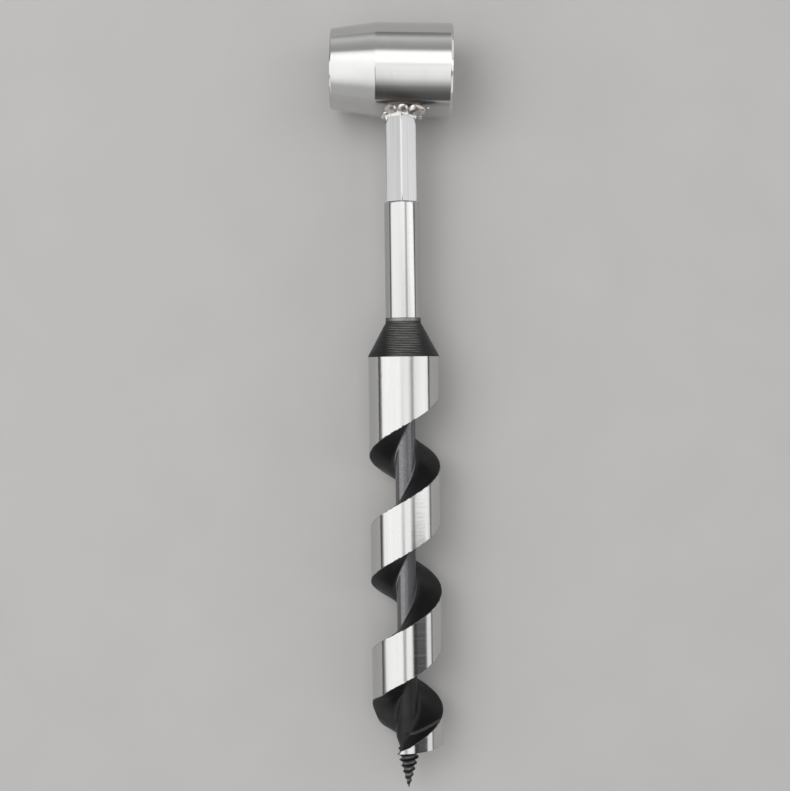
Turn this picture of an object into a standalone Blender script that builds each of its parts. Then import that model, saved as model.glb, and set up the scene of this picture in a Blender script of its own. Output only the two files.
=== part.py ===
"""Hand wood auger with a cross eye for a wooden handle, lying on its side.

X runs along the eye, Y along the bit towards the eye, Z up.  Pieces are drawn about the point where
the bit's axis crosses the eye's axis; places along the bit are distances from there towards the tip.
"""
import math

import bmesh
import bpy
import numpy as np
from mathutils import Vector

MM = 0.001
GAP = 0.3 * MM              # left between pieces that touch or are fused in the real tool
CREASE_ANGLE = math.radians(35.0)    # sharper edges than this stay sharp in the shading

# Eye: a turned tube, straight at one end and tapered at the other
EYE_R = 16.25 * MM
EYE_BORE_R = 12.5 * MM
EYE_SMALL_R = 13.9 * MM     # at the tapered end
EYE_STRAIGHT_END = 18.2 * MM
EYE_TAPER_START = -8.5 * MM
EYE_TAPER_END = -24.3 * MM
EYE_OUTER_CHAMFER = 0.7 * MM
EYE_SMALL_CHAMFER = 0.3 * MM
EYE_BORE_CHAMFER = 0.3 * MM
EYE_SKEW = math.radians(1.5)     # the hand weld holds the eye slightly out of square
EYE_SEGMENTS = 64

# Shank: a hexagon with one corner up, chamfered at the weld, then a round bar as wide as its corners
HEX_FLATS = 10.7 * MM
HEX_START = 16.8 * MM
HEX_END = 46.4 * MM
HEX_CHAMFER_LENGTH = 3.6 * MM
HEX_CHAMFER_R = 5.1 * MM         # of the chamfer's cone at the hexagon's end
ROUND_R = 6.2 * MM
ROUND_END = 86.9 * MM
ROUND_CHAMFER = 0.2 * MM
ROUND_SEGMENTS = 48

# Weld: a fillet round the hexagon's end, in puddles
WELD_SHANK_LEG = 1.3 * MM
WELD_EYE_LEG = 1.9 * MM
WELD_PUDDLES = 11
WELD_PUDDLE_STEPS = 6
WELD_PUDDLE_SHARE = 0.35         # how much a puddle's middle stands over the joins
WELD_LEAN = 0.5                  # extra spread on the straight end's side
WELD_BULGE = ((0.0, 1.0), (0.45, 0.85), (0.82, 0.55), (1.0, 0.1))   # shares of the legs, shank to eye

# Shoulder: a short band on the shank, a 30 degree cone and a narrow rim
SHOULDER_BAND = 1.6 * MM
SHOULDER_END = 100.5 * MM
SHOULDER_RIM = 1.0 * MM
SHOULDER_SEGMENTS = 56

# Twist: one right-hand flight.  Its two edges on the rim are lines through a few (place, angle) points,
# angles in degrees round from the top towards +X
TWIST_R = 12.5 * MM
TWIST_END = 237.4 * MM
CORE_R = 3.4 * MM
PITCH = 44.4 * MM
TOP_EDGE_PLACES = (103.6 * MM, 149.2 * MM, 194.8 * MM, 235.4 * MM, 236.4 * MM, TWIST_END)
TOP_EDGE_ANGLES = (720.0, 360.0, 0.0, -360.0, -374.0, -376.0)        # the last three are the lip's corner
UNDERSIDE_FRONT = 212.6 * MM     # the last place where the underside's edge is on top
HEEL_PLACES = (219.0 * MM, 222.4 * MM, 226.0 * MM, 230.0 * MM, 232.2 * MM, 234.9 * MM, TWIST_END)
HEEL_ANGLES = (-51.9, -88.0, -108.0, -123.0, -134.0, -157.0, -178.0)  # the underside steepens to the heel
WALL_DRAFT = 1.4 * MM            # lean of the flute's walls along the bit, rim to fillet
FLUTE_FILLET = 4.0 * MM
RUNOUT_START = 812.0             # angle along the flight where the flute begins to rise out
RUNOUT_END = 905.0
GRIND_SLOPE = math.tan(math.radians(3.0))
GRIND_DEPTH = 20.0 * MM          # length over which the rings tip towards the ground end
LAND_STEPS = 12
FILLET_STEPS = 4
FLOOR_STEPS = 8
RING_STEP = 14.0                 # degrees of turn between rings

# Lead screw: a convex cone with a right-hand thread
SCREW_TIP = 252.4 * MM
SCREW_NECK_R = 2.9 * MM
SCREW_NECK_END = 237.8 * MM
SCREW_FULL = 238.6 * MM
SCREW_CREST_R = 4.1 * MM
SCREW_TIP_R = 0.15 * MM
SCREW_PITCH = 2.1 * MM
SCREW_CREST_AT = 241.7 * MM      # where a crest is on the +X side
SCREW_DEPTH_SHARE = 0.26         # thread depth as a share of the crest's radius
SCREW_BELLY = 0.92               # below 1 the cone bulges
SCREW_COLUMNS = 12
SCREW_TURN_STEPS = 12


def clear_scene():
    """Remove whatever the scene holds."""
    for thing in list(bpy.data.objects):
        bpy.data.objects.remove(thing, do_unlink=True)


def finish(name, red, green, blue, roughness, metallic):
    """A plain surface material in linear colour."""
    material = bpy.data.materials.new(name)
    material.use_nodes = True
    shader = material.node_tree.nodes["Principled BSDF"]
    shader.inputs["Base Color"].default_value = (red, green, blue, 1.0)
    shader.inputs["Roughness"].default_value = roughness
    shader.inputs["Metallic"].default_value = metallic
    return material


def loft(name, rings, material, parent, closes=False):
    """A solid over rings of points.  It has flat ends, or meets itself when it closes."""
    solid = bmesh.new()
    loops = [[solid.verts.new(point) for point in ring] for ring in rings]
    nexts = loops[1:] + loops[:1] if closes else loops[1:]
    for near, far in zip(loops, nexts):
        for i in range(len(near)):
            solid.faces.new((near[i - 1], near[i], far[i], far[i - 1]))
    if not closes:
        solid.faces.new(loops[0])
        solid.faces.new(loops[-1])
    bmesh.ops.recalc_face_normals(solid, faces=solid.faces)
    mesh = bpy.data.meshes.new(name)
    solid.to_mesh(mesh)
    solid.free()
    mesh.shade_smooth()
    mesh.set_sharp_from_angle(angle=CREASE_ANGLE)
    mesh.materials.append(material)
    piece = bpy.data.objects.new(name, mesh)
    bpy.context.scene.collection.objects.link(piece)
    piece.parent = parent
    return piece


def around_bit(radius, angle, place):
    """Points at a radius and an angle round the bit, at a place along it."""
    return np.stack(np.broadcast_arrays(radius * np.sin(angle), -place, radius * np.cos(angle)), axis=-1)


def turned(name, profile, segments, material, parent):
    """A solid turned about the bit from (place, radius) points."""
    angles = np.linspace(0.0, 2.0 * math.pi, segments, endpoint=False)
    rings = [around_bit(radius, angles, place) for place, radius in profile]
    return loft(name, rings, material, parent)


def make_eye_tube(material, parent):
    """The tube: a closed profile swept round the X axis, then turned out of square with the bit."""
    profile = (
        (EYE_TAPER_END, EYE_BORE_R + EYE_BORE_CHAMFER),
        (EYE_TAPER_END, EYE_SMALL_R - EYE_SMALL_CHAMFER),
        (EYE_TAPER_END + EYE_SMALL_CHAMFER, EYE_SMALL_R),
        (EYE_TAPER_START, EYE_R),
        (EYE_STRAIGHT_END - EYE_OUTER_CHAMFER, EYE_R),
        (EYE_STRAIGHT_END, EYE_R - EYE_OUTER_CHAMFER),
        (EYE_STRAIGHT_END, EYE_BORE_R + EYE_BORE_CHAMFER),
        (EYE_STRAIGHT_END - EYE_BORE_CHAMFER, EYE_BORE_R),
        (EYE_TAPER_END + EYE_BORE_CHAMFER, EYE_BORE_R),
    )
    angles = np.linspace(0.0, 2.0 * math.pi, EYE_SEGMENTS, endpoint=False)
    rings = [[(x, r * math.sin(angle), r * math.cos(angle)) for x, r in profile] for angle in angles]
    tube = loft("eye_tube", rings, material, parent, closes=True)
    tube.rotation_euler.z = -EYE_SKEW
    return tube


def eye_surface(x, z):
    """Place along the bit where the eye's outside is met, one gap clear of it."""
    reach = np.sqrt((EYE_R + GAP) ** 2 - z ** 2)
    return (reach + x * math.sin(EYE_SKEW)) / math.cos(EYE_SKEW)


def make_weld(material, parent):
    """A fillet whose section stands on the eye and against the hexagon, its legs swelling in puddles."""
    rings = []
    for angle in np.linspace(0.0, 2.0 * math.pi, WELD_PUDDLE_STEPS * WELD_PUDDLES, endpoint=False):
        across = math.sin(angle)
        up = math.cos(angle)
        from_flat = (angle % (math.pi / 3.0)) - math.pi / 6.0
        inner = HEX_FLATS / 2.0 / math.cos(from_flat) + GAP
        swell = 1.0 + WELD_PUDDLE_SHARE * abs(math.sin(WELD_PUDDLES * angle / 2.0))
        spread = WELD_EYE_LEG * swell * (1.0 + WELD_LEAN * across)
        rise = WELD_SHANK_LEG * swell
        root = eye_surface(inner * across, inner * up)
        outer = inner + spread
        toe = eye_surface(outer * across, outer * up)
        bulge = [(inner + out * spread, root + out * (toe - root) + high * rise) for out, high in WELD_BULGE]
        section = [(inner, root)] + bulge + [(outer, toe)]
        rings.append([around_bit(radius, angle, place) for radius, place in section])
    return loft("eye_weld", rings, material, parent, closes=True)


def make_hex_shank(material, parent):
    """A hexagonal bar whose corners are turned off to a shallow cone at the weld."""
    corners = np.radians(np.arange(6) * 60.0)
    corner_r = HEX_FLATS / 2.0 / math.cos(math.pi / 6.0)
    rings = [around_bit(corner_r, corners, place) for place in (HEX_START, HEX_END)]
    bar = loft("hex_shank", rings, material, parent)
    envelope_r = corner_r + GAP
    steepness = (corner_r - HEX_CHAMFER_R) / HEX_CHAMFER_LENGTH
    past = GAP / steepness
    profile = (
        (HEX_START - GAP, HEX_CHAMFER_R - GAP * steepness),
        (HEX_START + HEX_CHAMFER_LENGTH + past, envelope_r),
        (HEX_END + GAP, envelope_r),
    )
    envelope = turned("hex_envelope", profile, EYE_SEGMENTS, material, parent)
    envelope.hide_render = True
    envelope.display_type = "WIRE"
    cut = bar.modifiers.new("end_chamfer", "BOOLEAN")
    cut.operation = "INTERSECT"
    cut.solver = "EXACT"
    cut.object = envelope
    return bar


def make_round_shank(material, parent):
    """The ground cylinder between the hexagon and the shoulder."""
    start = HEX_END + GAP
    profile = (
        (start, ROUND_R - ROUND_CHAMFER),
        (start + ROUND_CHAMFER, ROUND_R),
        (ROUND_END - GAP, ROUND_R),
    )
    return turned("round_shank", profile, ROUND_SEGMENTS, material, parent)


def make_shoulder(material, parent):
    """Band, cone and rim, from the shank's diameter to the twist's."""
    profile = (
        (ROUND_END, ROUND_R),
        (ROUND_END + SHOULDER_BAND, ROUND_R),
        (SHOULDER_END - SHOULDER_RIM, TWIST_R),
        (SHOULDER_END, TWIST_R),
    )
    return turned("shoulder_cone", profile, SHOULDER_SEGMENTS, material, parent)


def top_edge(place):
    """Angle of the rim edge on the flight's upper side, in degrees."""
    first_pitch = TOP_EDGE_PLACES[1] - TOP_EDGE_PLACES[0]
    above = np.maximum(TOP_EDGE_PLACES[0] - place, 0.0) * 360.0 / first_pitch
    return np.interp(place, TOP_EDGE_PLACES, TOP_EDGE_ANGLES) + above


def underside_edge(place):
    """Angle of the rim edge on the flight's underside, in degrees."""
    helix = (UNDERSIDE_FRONT - place) * 360.0 / PITCH
    return np.where(place < HEEL_PLACES[0], helix, np.interp(place, HEEL_PLACES, HEEL_ANGLES))


def flute_wall():
    """Points from the fillet's top to the core: turn in from the rim edge, in degrees, and radius."""
    bend = np.linspace(0.0, math.pi / 2.0, FILLET_STEPS + 1)
    along = WALL_DRAFT + FLUTE_FILLET * (1.0 - np.cos(bend))
    radius = CORE_R + FLUTE_FILLET * (1.0 - np.sin(bend))
    return along * 360.0 / PITCH, radius


def twist_ring(place):
    """Section of the twist square to the bit: land on the rim, flute wall, core, flute wall."""
    upper = top_edge(place)
    under = underside_edge(place)
    turn_in, wall_r = flute_wall()
    land = np.linspace(upper, under, LAND_STEPS + 1)
    floor = np.linspace(under + turn_in[-1], upper + 360.0 - turn_in[-1], FLOOR_STEPS + 1)[1:-1]
    flute = np.concatenate((under + turn_in, floor, upper + 360.0 - turn_in[::-1]))
    flute_r = np.concatenate((wall_r, np.full(FLOOR_STEPS - 1, CORE_R), wall_r[::-1]))
    rise = np.clip((flute - RUNOUT_START) / (RUNOUT_END - RUNOUT_START), 0.0, 1.0)
    flute_r = TWIST_R - (TWIST_R - flute_r) * (1.0 - rise ** 2)
    angles = np.radians(np.concatenate((land, flute)))
    radii = np.concatenate((np.full(LAND_STEPS + 1, TWIST_R), flute_r))
    points = around_bit(radii, angles, place)
    tipped = np.clip((place - TWIST_END + GRIND_DEPTH) / GRIND_DEPTH, 0.0, 1.0)
    points[:, 1] += GRIND_SLOPE * tipped * points[:, 0]
    return points


def make_twist(bright, black, parent):
    """The flight round its core, ground off at a slight slope below; black inside the flute."""
    start = SHOULDER_END + GAP
    lip_top = TOP_EDGE_PLACES[-3]
    ring_count = round((lip_top - start) / PITCH * 360.0 / RING_STEP)
    places = np.append(np.linspace(start, lip_top, ring_count), TOP_EDGE_PLACES[-2:])
    twist = loft("twist", [twist_ring(place) for place in places], bright, parent)
    twist.data.materials.append(black)
    inside = TWIST_R - GAP
    for face in twist.data.polygons:
        corners = [twist.data.vertices[i].co for i in face.vertices]
        face.material_index = int(min(math.hypot(corner.x, corner.z) for corner in corners) < inside)
    return twist


def make_lead_screw(material, parent):
    """Rings that turn with the thread, so that each crest and root runs along its own column of points."""
    places = np.arange(TWIST_END + GAP, SCREW_TIP, SCREW_PITCH / SCREW_TURN_STEPS)
    places = np.append(places, SCREW_TIP)
    column = np.arange(SCREW_COLUMNS) / SCREW_COLUMNS
    height = np.abs(2.0 * column - 1.0)
    rings = []
    for place in places:
        left = np.clip((SCREW_TIP - place) / (SCREW_TIP - SCREW_FULL), 0.0, 1.0)
        crest = SCREW_TIP_R + (SCREW_CREST_R - SCREW_TIP_R) * left ** SCREW_BELLY
        grown = np.clip((place - SCREW_NECK_END) / (SCREW_FULL - SCREW_NECK_END), 0.0, 1.0)
        threaded = crest * (1.0 - SCREW_DEPTH_SHARE * (1.0 - height))
        radius = SCREW_NECK_R + (threaded - SCREW_NECK_R) * grown
        turn = 0.25 - (place - SCREW_CREST_AT) / SCREW_PITCH
        rings.append(around_bit(radius, 2.0 * math.pi * (column + turn), place))
    return loft("lead_screw", rings, material, parent)


def stand_on_floor(parent, pieces):
    """Move the whole tool so that the middle of its underside is the origin."""
    bpy.context.view_layer.update()
    corners = [piece.matrix_world @ vertex.co for piece in pieces for vertex in piece.data.vertices]
    low = Vector(min(corner[i] for corner in corners) for i in range(3))
    high = Vector(max(corner[i] for corner in corners) for i in range(3))
    parent.location = (-(low.x + high.x) / 2.0, -(low.y + high.y) / 2.0, -low.z)


def build():
    """All pieces, hung on the crossing of the two axes."""
    clear_scene()
    crossing = bpy.data.objects.new("axes_crossing", None)
    bpy.context.scene.collection.objects.link(crossing)
    turned_steel = finish("turned_steel", 0.62, 0.62, 0.63, 0.18, 1.0)
    weld_metal = finish("weld_metal", 0.62, 0.61, 0.60, 0.25, 1.0)
    hex_steel = finish("drawn_hex_steel", 0.60, 0.60, 0.61, 0.32, 1.0)
    ground_steel = finish("ground_steel", 0.64, 0.64, 0.65, 0.20, 1.0)
    cone_black = finish("shoulder_black_paint", 0.022, 0.022, 0.022, 0.42, 0.0)
    land_steel = finish("polished_land_steel", 0.64, 0.64, 0.65, 0.16, 1.0)
    flute_black = finish("flute_black_paint", 0.014, 0.014, 0.015, 0.40, 0.0)
    screw_black = finish("screw_black_paint", 0.010, 0.010, 0.010, 0.35, 0.0)
    pieces = [
        make_eye_tube(turned_steel, crossing),
        make_weld(weld_metal, crossing),
        make_hex_shank(hex_steel, crossing),
        make_round_shank(ground_steel, crossing),
        make_shoulder(cone_black, crossing),
        make_twist(land_steel, flute_black, crossing),
        make_lead_screw(screw_black, crossing),
    ]
    stand_on_floor(crossing, pieces)


build()
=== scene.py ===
import math

import bmesh
import bpy
import numpy as np
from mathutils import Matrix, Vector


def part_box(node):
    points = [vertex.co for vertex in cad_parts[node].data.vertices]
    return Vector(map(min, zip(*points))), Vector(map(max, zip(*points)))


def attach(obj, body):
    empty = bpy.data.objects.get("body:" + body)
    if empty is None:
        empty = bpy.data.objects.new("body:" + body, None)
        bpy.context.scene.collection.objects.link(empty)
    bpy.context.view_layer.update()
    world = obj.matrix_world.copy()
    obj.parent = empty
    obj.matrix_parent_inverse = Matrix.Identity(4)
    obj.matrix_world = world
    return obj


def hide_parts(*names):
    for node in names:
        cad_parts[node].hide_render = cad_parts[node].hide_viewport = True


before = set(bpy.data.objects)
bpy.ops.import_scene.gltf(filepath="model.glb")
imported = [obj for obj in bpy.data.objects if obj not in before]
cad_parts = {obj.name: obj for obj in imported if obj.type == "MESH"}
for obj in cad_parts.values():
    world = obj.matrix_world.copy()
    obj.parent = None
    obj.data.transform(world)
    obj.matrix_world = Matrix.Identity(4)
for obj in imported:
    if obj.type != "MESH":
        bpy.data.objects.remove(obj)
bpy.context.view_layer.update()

MM = 0.001

# Hexagonal shank: the end of the bit that a brace or spanner can grip, six drawn flats with one corner up.
# Steel bar left as drawn, with its two side corners ground away a little where the eye is welded on.

HEX_FLATS = 10.7 * MM
HEX_START = 16.8 * MM
HEX_END = 46.49 * MM
HEX_GRIND_LENGTH = 3.0 * MM
HEX_TOP_GRIND = 0.25 * MM
HEX_SIDE_GRIND = 0.7 * MM
HEX_CORNER_SHARPNESS = 60.0
HEX_CORNER_SPARE = 0.02 * MM
HEX_GRIND_SHARPNESS = 260.0
HEX_FINE_LENGTH = 4.2 * MM
HEX_PLAIN_FROM = 5.0 * MM
HEX_GROOVE = 0.7
HEX_CROWDING = 0.13
HEX_SIDE_STEPS = 40
SHARP_EDGE = math.radians(32.0)
SHANK_START = 46.7 * MM

shank_low, shank_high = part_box("round_shank")
crossing = np.array((
    (shank_low.x + shank_high.x) / 2.0,
    shank_high.y + SHANK_START,
    (shank_low.z + shank_high.z) / 2.0,
))


def around_bit(radius, angle, place):
    """Points at a radius and an angle round the bit, from the top towards +X, at a distance from the
    eye's axis towards the tip."""
    sideways = radius * np.sin(angle)
    upwards = radius * np.cos(angle)
    return crossing + np.stack(np.broadcast_arrays(sideways, -place, upwards), -1)


def skin(name, grid, rows_close=False):
    """A closed piece over a grid of points, rows by columns.  Columns join round; rows join round as well,
    or the first and last ring are each filled with one flat face."""
    rows, columns = grid.shape[:2]
    corner = np.arange(rows * columns).reshape(rows, columns)
    if rows_close:
        corner = np.vstack((corner, corner[:1]))
    corner = np.hstack((corner, corner[:, :1]))
    quads = np.stack((corner[:-1, :-1], corner[:-1, 1:], corner[1:, 1:], corner[1:, :-1]), -1)
    faces = quads.reshape(-1, 4).tolist()
    if not rows_close:
        faces += [corner[0, :-1].tolist(), corner[-1, :-1].tolist()]
    mesh = bpy.data.meshes.new(name)
    mesh.from_pydata(grid.reshape(-1, 3).tolist(), [], faces)
    solid = bmesh.new()
    solid.from_mesh(mesh)
    bmesh.ops.recalc_face_normals(solid, faces=solid.faces)
    solid.to_mesh(mesh)
    solid.free()
    mesh.shade_smooth()
    mesh.set_sharp_from_angle(angle=SHARP_EDGE)
    piece = bpy.data.objects.new(name, mesh)
    bpy.context.scene.collection.objects.link(piece)
    return piece


def linear(code):
    """An sRGB hex colour as linear red, green, blue and alpha."""
    channels = np.array([int(code[i:i + 2], 16) for i in (1, 3, 5)]) / 255.0
    values = np.where(channels <= 0.04045, channels / 12.92, ((channels + 0.055) / 1.055) ** 2.4)
    return (*values.tolist(), 1.0)


def add(tree, kind, settings, inputs):
    """One node with its settings; each input is a value, or another node's output to link."""
    node = tree.nodes.new(kind)
    for name, value in settings.items():
        setattr(node, name, value)
    for name, value in inputs.items():
        if isinstance(value, bpy.types.NodeSocket):
            tree.links.new(value, node.inputs[name])
        else:
            node.inputs[name].default_value = value
    return node


def start_material(name, colour, metallic, roughness):
    """A material with its even values on the shader's own sockets, and its node tree to add to."""
    material = bpy.data.materials.new(name)
    material.use_nodes = True
    shader = material.node_tree.nodes["Principled BSDF"]
    shader.inputs["Base Color"].default_value = linear(colour)
    shader.inputs["Metallic"].default_value = metallic
    shader.inputs["Roughness"].default_value = roughness
    return material, material.node_tree, shader


def smallest(first, second, sharpness):
    """The lesser of two radii, with the change from one to the other rounded off."""
    return first * (1.0 + (first / second) ** sharpness) ** (-1.0 / sharpness)


# Angles crowd towards the corners; each radius is the flat's, capped by the corner's round and by the
# ground end.  The last ring dips under the flats, a shallow groove where the shank's grinding stops.
side = np.linspace(0.0, 1.0, HEX_SIDE_STEPS, endpoint=False)
side = side - HEX_CROWDING * np.sin(2.0 * math.pi * side)
hex_angles = ((np.arange(6)[:, None] + side) * math.pi / 3.0).ravel()
hex_places = np.concatenate((
    np.linspace(HEX_START, HEX_START + HEX_FINE_LENGTH, 43),
    np.linspace(HEX_START + HEX_PLAIN_FROM, HEX_END - 0.2 * MM, 8),
    [HEX_END],
))[:, None]
hex_corner_r = HEX_FLATS / math.sqrt(3.0)
hex_cap_r = hex_corner_r + HEX_CORNER_SPARE
flat_r = HEX_FLATS / 2.0 / np.cos(hex_angles % (math.pi / 3.0) - math.pi / 6.0)
flat_r = smallest(flat_r, hex_cap_r, HEX_CORNER_SHARPNESS)
grind = HEX_TOP_GRIND + (HEX_SIDE_GRIND - HEX_TOP_GRIND) * np.sin(hex_angles) ** 2
ground_r = hex_corner_r + grind * ((hex_places - HEX_START) / HEX_GRIND_LENGTH - 1.0)
hex_r = smallest(flat_r, ground_r, HEX_GRIND_SHARPNESS)
hex_r[-1] -= HEX_GROOVE * (hex_cap_r - hex_r[-1])
hex_bar = skin("hex_bar", around_bit(hex_r, hex_angles, hex_places))

# Drawn steel: a satin face with fine lines along the bar from the die, so its reflections are soft; the
# uppermost corner has a painted glint, a lighter line of steel colour standing in for its highlight.
material, tree, shader = start_material("drawn_steel_satin", "#b0b0b0", 1.0, 0.24)
place = add(tree, "ShaderNodeTexCoord", {}, {}).outputs["Object"]
lines = add(tree, "ShaderNodeMapping", {}, {"Vector": place, "Scale": (1.0, 0.012, 1.0)})
drawn = add(tree, "ShaderNodeTexNoise", {}, {
    "Vector": lines.outputs["Vector"], "Scale": 1.0 / (0.7 * MM), "Detail": 3.0, "Roughness": 0.65})
tone = add(tree, "ShaderNodeMix", {"data_type": "RGBA"}, {
    "Factor": drawn.outputs["Fac"], 6: linear("#a5a5a5"), 7: linear("#bababb")})
ways = add(tree, "ShaderNodeSeparateXYZ", {}, {"Vector": place})
ridge_top = float(crossing[2]) + 6.07 * MM
# Painted glint: lighter steel colour on the top corner only, where the highlight falls.
ridge_glint = add(tree, "ShaderNodeMapRange", {}, {
    "Value": ways.outputs["Z"], "From Min": ridge_top - 0.1 * MM, "From Max": ridge_top})
steel_and_sheen = add(tree, "ShaderNodeMix", {"data_type": "RGBA"}, {
    "Factor": ridge_glint.outputs["Result"], 6: tone.outputs[2], 7: linear("#cacaca")})
tree.links.new(steel_and_sheen.outputs[2], shader.inputs["Base Color"])
gloss = add(tree, "ShaderNodeMapRange", {}, {
    "Value": drawn.outputs["Fac"], "To Min": 0.3, "To Max": 0.18})
tree.links.new(gloss.outputs["Result"], shader.inputs["Roughness"])
relief = add(tree, "ShaderNodeBump", {}, {
    "Strength": 1.0, "Distance": 0.004 * MM, "Height": drawn.outputs["Fac"]})
tree.links.new(relief.outputs["Normal"], shader.inputs["Normal"])
hex_bar.data.materials.append(material)
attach(hex_bar, "root")
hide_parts("hex_shank")

# Round shank: the plain part of the bit between the hexagon and the shoulder, as wide as the hexagon's
# corners.  The same bar, ground bright between centres, with the sharp edge at the hexagon broken.

SHANK_R = 6.2 * MM
SHANK_END = 86.89 * MM
SHANK_CHAMFER = 0.22 * MM
SHANK_SEGMENTS = 192

shank_profile = np.array((
    (HEX_END + 0.01 * MM, SHANK_R - SHANK_CHAMFER),
    (HEX_END + 0.13 * MM, SHANK_R - 0.08 * MM),
    (HEX_END + SHANK_CHAMFER + 0.05 * MM, SHANK_R - 0.01 * MM),
    (HEX_END + 0.5 * MM, SHANK_R),
    (HEX_END + 1.0 * MM, SHANK_R),
    (SHANK_END - 0.5 * MM, SHANK_R),
    (SHANK_END, SHANK_R),
))


def turned(name, profile, segments):
    """A solid turned about the bit: each row of the profile is a place along it and a radius, which is
    carried round the axis."""
    angles = np.linspace(0.0, 2.0 * math.pi, segments, endpoint=False)
    return skin(name, around_bit(profile[:, 1:], angles, profile[:, :1]))


ground_shank = turned("ground_shank", shank_profile, SHANK_SEGMENTS)


def bright_steel(name, colour, dull, coarse, roughness, groove):
    """Steel finished on a grinder: bright, with fine rings round the bit from the wheel's grit, low waves
    along the bit that make the edges of its reflections run in streaks, and a few dull specks."""
    material, tree, shader = start_material(name, colour, 1.0, roughness)
    place = add(tree, "ShaderNodeTexCoord", {}, {}).outputs["Object"]
    rings = add(tree, "ShaderNodeMapping", {}, {"Vector": place, "Scale": (0.05, 1.0, 0.05)})
    ground = add(tree, "ShaderNodeTexNoise", {}, {
        "Vector": rings.outputs["Vector"], "Scale": 1.0 / coarse, "Detail": 4.0, "Roughness": 0.6})
    lengthwise = add(tree, "ShaderNodeMapping", {}, {"Vector": place, "Scale": (1.0, 0.035, 1.0)})
    waves = add(tree, "ShaderNodeTexNoise", {}, {
        "Vector": lengthwise.outputs["Vector"], "Scale": 1.0 / (1.4 * MM), "Detail": 2.0})
    blotch = add(tree, "ShaderNodeTexNoise", {}, {
        "Vector": place, "Scale": 1.0 / (5.0 * MM), "Detail": 3.0})
    tone = add(tree, "ShaderNodeMix", {"data_type": "RGBA"}, {
        "Factor": waves.outputs["Fac"], 6: linear(dull), 7: linear(colour)})
    dots = add(tree, "ShaderNodeTexNoise", {}, {
        "Vector": place, "Scale": 1.0 / (0.45 * MM), "Detail": 1.0})
    specks = add(tree, "ShaderNodeMapRange", {}, {
        "Value": dots.outputs["Fac"], "From Min": 0.7, "From Max": 0.78, "To Max": 0.45})
    specked = add(tree, "ShaderNodeMix", {"data_type": "RGBA"}, {
        "Factor": specks.outputs["Result"], 6: tone.outputs[2], 7: linear("#77776f")})
    tree.links.new(specked.outputs[2], shader.inputs["Base Color"])
    gloss = add(tree, "ShaderNodeMapRange", {}, {
        "Value": ground.outputs["Fac"], "From Min": 0.3, "From Max": 0.7,
        "To Min": roughness + 0.04, "To Max": roughness - 0.04})
    tree.links.new(gloss.outputs["Result"], shader.inputs["Roughness"])
    soft = add(tree, "ShaderNodeMath", {"operation": "MULTIPLY_ADD"}, {
        0: blotch.outputs["Fac"], 1: 6.0, 2: ground.outputs["Fac"]})
    height = add(tree, "ShaderNodeMath", {"operation": "MULTIPLY_ADD"}, {
        0: waves.outputs["Fac"], 1: 5.0, 2: soft.outputs["Value"]})
    relief = add(tree, "ShaderNodeBump", {}, {
        "Strength": 1.0, "Distance": groove, "Height": height.outputs["Value"]})
    tree.links.new(relief.outputs["Normal"], shader.inputs["Normal"])
    return material


# Ground steel: nearly a mirror, so it shows the light as hard-edged bands along the bar.
ground_shank.data.materials.append(
    bright_steel("ground_steel", "#c6c6c5", "#bebebd", 0.5 * MM, 0.12, 0.002 * MM))
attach(ground_shank, "root")
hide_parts("round_shank")

# Shoulder: the cone where the bar widens from the shank to the full width of the twist.
# Turned with a fine feed, which leaves a groove for each turn, then sprayed black; a thin mist of the paint
# reaches the first of the shank above it.

SHOULDER_START = 86.9 * MM
SHOULDER_BAND = 1.6 * MM
SHOULDER_END = 100.5 * MM
SHOULDER_RIM = 0.35 * MM
SHOULDER_TOP_BREAK = 0.1 * MM
SHOULDER_RIM_BREAK = 0.12 * MM
TWIST_R = 12.5 * MM
GROOVE_PITCH = 0.6 * MM
GROOVE_DEPTH = 0.06 * MM
SHOULDER_STEPS = 260
SHOULDER_SEGMENTS = 224

cone_places = np.linspace(SHOULDER_START, SHOULDER_END, SHOULDER_STEPS)
cone_start = SHOULDER_START + SHOULDER_BAND
cone_end = SHOULDER_END - SHOULDER_RIM
cone_r = np.interp(cone_places, (cone_start, cone_end), (SHANK_R, TWIST_R))
turns = (cone_places - cone_start) / GROOVE_PITCH
turn_share = turns % 1.0
on_cone = (cone_places > cone_start) & (cone_places < cone_end)
scallop = 1.0 - (2.0 * turn_share - 1.0) ** 2
uneven = 0.65 + 0.35 * np.sin(2.3 * np.floor(turns))
cone_r = cone_r - on_cone * GROOVE_DEPTH * uneven * scallop
cone_r[0] -= SHOULDER_TOP_BREAK
cone_r[-1] -= SHOULDER_RIM_BREAK
black_shoulder = turned("black_shoulder", np.stack((cone_places, cone_r), -1), SHOULDER_SEGMENTS)


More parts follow.
